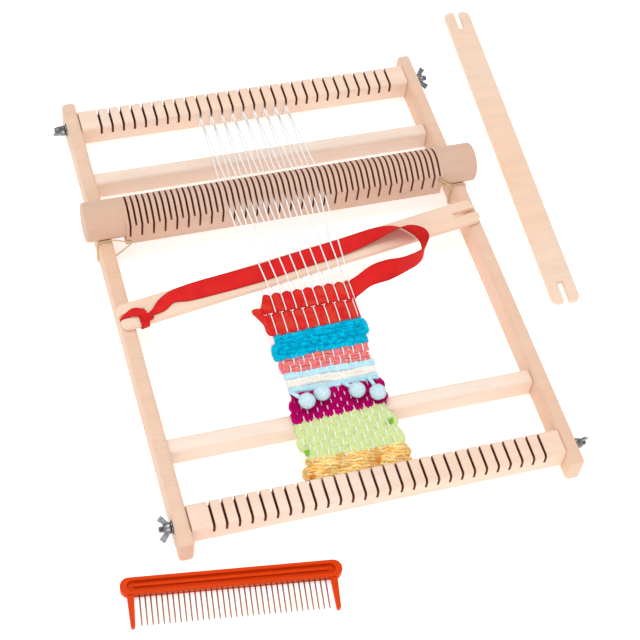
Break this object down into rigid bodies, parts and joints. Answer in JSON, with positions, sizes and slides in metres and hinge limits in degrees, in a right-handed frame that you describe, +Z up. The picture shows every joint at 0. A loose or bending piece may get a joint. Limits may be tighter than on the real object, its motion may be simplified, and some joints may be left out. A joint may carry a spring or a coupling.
{
  "type": "frame loom",
  "caption": "Tabletop wooden frame loom with a turning slotted heddle bar, tooth-cut beams on wing nuts, a striped band in work, stick shuttles and a weaving comb.",
  "frame": {"origin": "middle of the front crossbar's underside, on the table", "axes": "+X to the weaver's right, +Y from the weaver to the back beam, +Z up"},
  "size_m": [0.4627, 0.5873, 0.052],
  "materials": {
    "beech": "pale planed beech, lightly sanded, unvarnished",
    "pale_beech": "pale sanded beech, the shuttles and dowels",
    "zinc": "bright zinc plate",
    "warp": "white twisted cotton",
    "elastic": "thin covered elastic",
    "ribbon": "red felt-like ribbon, matte",
    "blue_yarn": "fluffy bright blue yarn",
    "coral_yarn": "coral and pink twisted yarn",
    "sky_yarn": "thick light blue and cream cord, and light blue pompoms",
    "magenta_yarn": "fluffy magenta yarn",
    "green_yarn": "soft light green yarn",
    "orange_yarn": "orange and yellow twisted yarn",
    "plastic": "moulded orange-red plastic, satin gloss",
    "needle_steel": "drawn steel wire"
  },
  "bodies": {
    "frame": {"left_side_rail": "beech", "right_side_rail": "beech", "front_crossbar": "beech", "front_crossbar_left_dowel": "pale_beech", "front_crossbar_right_dowel": "pale_beech", "back_crossbar": "beech", "back_crossbar_left_dowel": "pale_beech", "back_crossbar_right_dowel": "pale_beech", "front_left_washer": "zinc", "front_right_washer": "zinc", "back_left_washer": "zinc", "back_right_washer": "zinc", "left_heddle_tie": "elastic", "right_heddle_tie": "elastic", "ribbon_run": "ribbon", "ribbon_rows": "ribbon", "blue_band": "blue_yarn", "coral_band": "coral_yarn", "sky_band": "sky_yarn", "magenta_band": "magenta_yarn", "green_band": "green_yarn", "orange_band": "orange_yarn", "pompom_1": "sky_yarn", "pompom_2": "sky_yarn", "pompom_3": "sky_yarn", "pompom_4": "sky_yarn", "warp_thread": "warp"},
    "front_beam": {"front_beam": "beech", "front_left_bolt": "zinc", "front_right_bolt": "zinc"},
    "back_beam": {"back_beam": "beech", "back_left_bolt": "zinc", "back_right_bolt": "zinc"},
    "heddle_bar": {"heddle_bar": "beech"},
    "front_left_wing_nut": {"front_left_wing_nut": "zinc"},
    "front_right_wing_nut": {"front_right_wing_nut": "zinc"},
    "back_left_wing_nut": {"back_left_wing_nut": "zinc"},
    "back_right_wing_nut": {"back_right_wing_nut": "zinc"},
    "shuttle": {"shuttle": "pale_beech", "ribbon_knot": "ribbon"},
    "spare_shuttle": {"spare_shuttle": "pale_beech"},
    "comb": {"comb_back": "plastic", "comb_needles": "needle_steel"}
  },
  "joints": [
    {"name": "heddle_turn", "type": "hinge", "parent": "frame", "child": "heddle_bar", "pos_m": [0, 0.2187, 0.035], "axis": [1, 0, 0], "range_deg": [-35, 35], "deforming": ["warp_thread", "left_heddle_tie", "right_heddle_tie"]},
    {"name": "front_beam_turn", "type": "hinge", "parent": "frame", "child": "front_beam", "pos_m": [0, -0.0681, 0.0155], "axis": [1, 0, 0], "range_deg": [-12, 12], "deforming": ["orange_band"]},
    {"name": "back_beam_turn", "type": "hinge", "parent": "frame", "child": "back_beam", "pos_m": [0, 0.3411, 0.0155], "axis": [1, 0, 0], "range_deg": [-12, 12], "deforming": ["warp_thread"]},
    {"name": "front_left_nut_spin", "type": "hinge", "parent": "front_beam", "child": "front_left_wing_nut", "pos_m": [-0.1685, -0.0681, 0.0155], "axis": [1, 0, 0], "continuous": true},
    {"name": "front_right_nut_spin", "type": "hinge", "parent": "front_beam", "child": "front_right_wing_nut", "pos_m": [0.1685, -0.0681, 0.0155], "axis": [1, 0, 0], "continuous": true},
    {"name": "back_left_nut_spin", "type": "hinge", "parent": "back_beam", "child": "back_left_wing_nut", "pos_m": [-0.1685, 0.3411, 0.0155], "axis": [1, 0, 0], "continuous": true},
    {"name": "back_right_nut_spin", "type": "hinge", "parent": "back_beam", "child": "back_right_wing_nut", "pos_m": [0.1685, 0.3411, 0.0155], "axis": [1, 0, 0], "continuous": true},
    {"name": "shuttle_slide", "type": "slide", "parent": "frame", "child": "shuttle", "axis": [0.9888, 0.1495, 0], "range_m": [-0.002, 0.05], "deforming": ["ribbon_run"]},
    {"name": "spare_shuttle_lift", "type": "slide", "parent": "frame", "child": "spare_shuttle", "axis": [0, 0, 1], "range_m": [0, 0.1]},
    {"name": "comb_lift", "type": "slide", "parent": "frame", "child": "comb", "axis": [0, 0, 1], "range_m": [0, 0.1]}
  ]
}
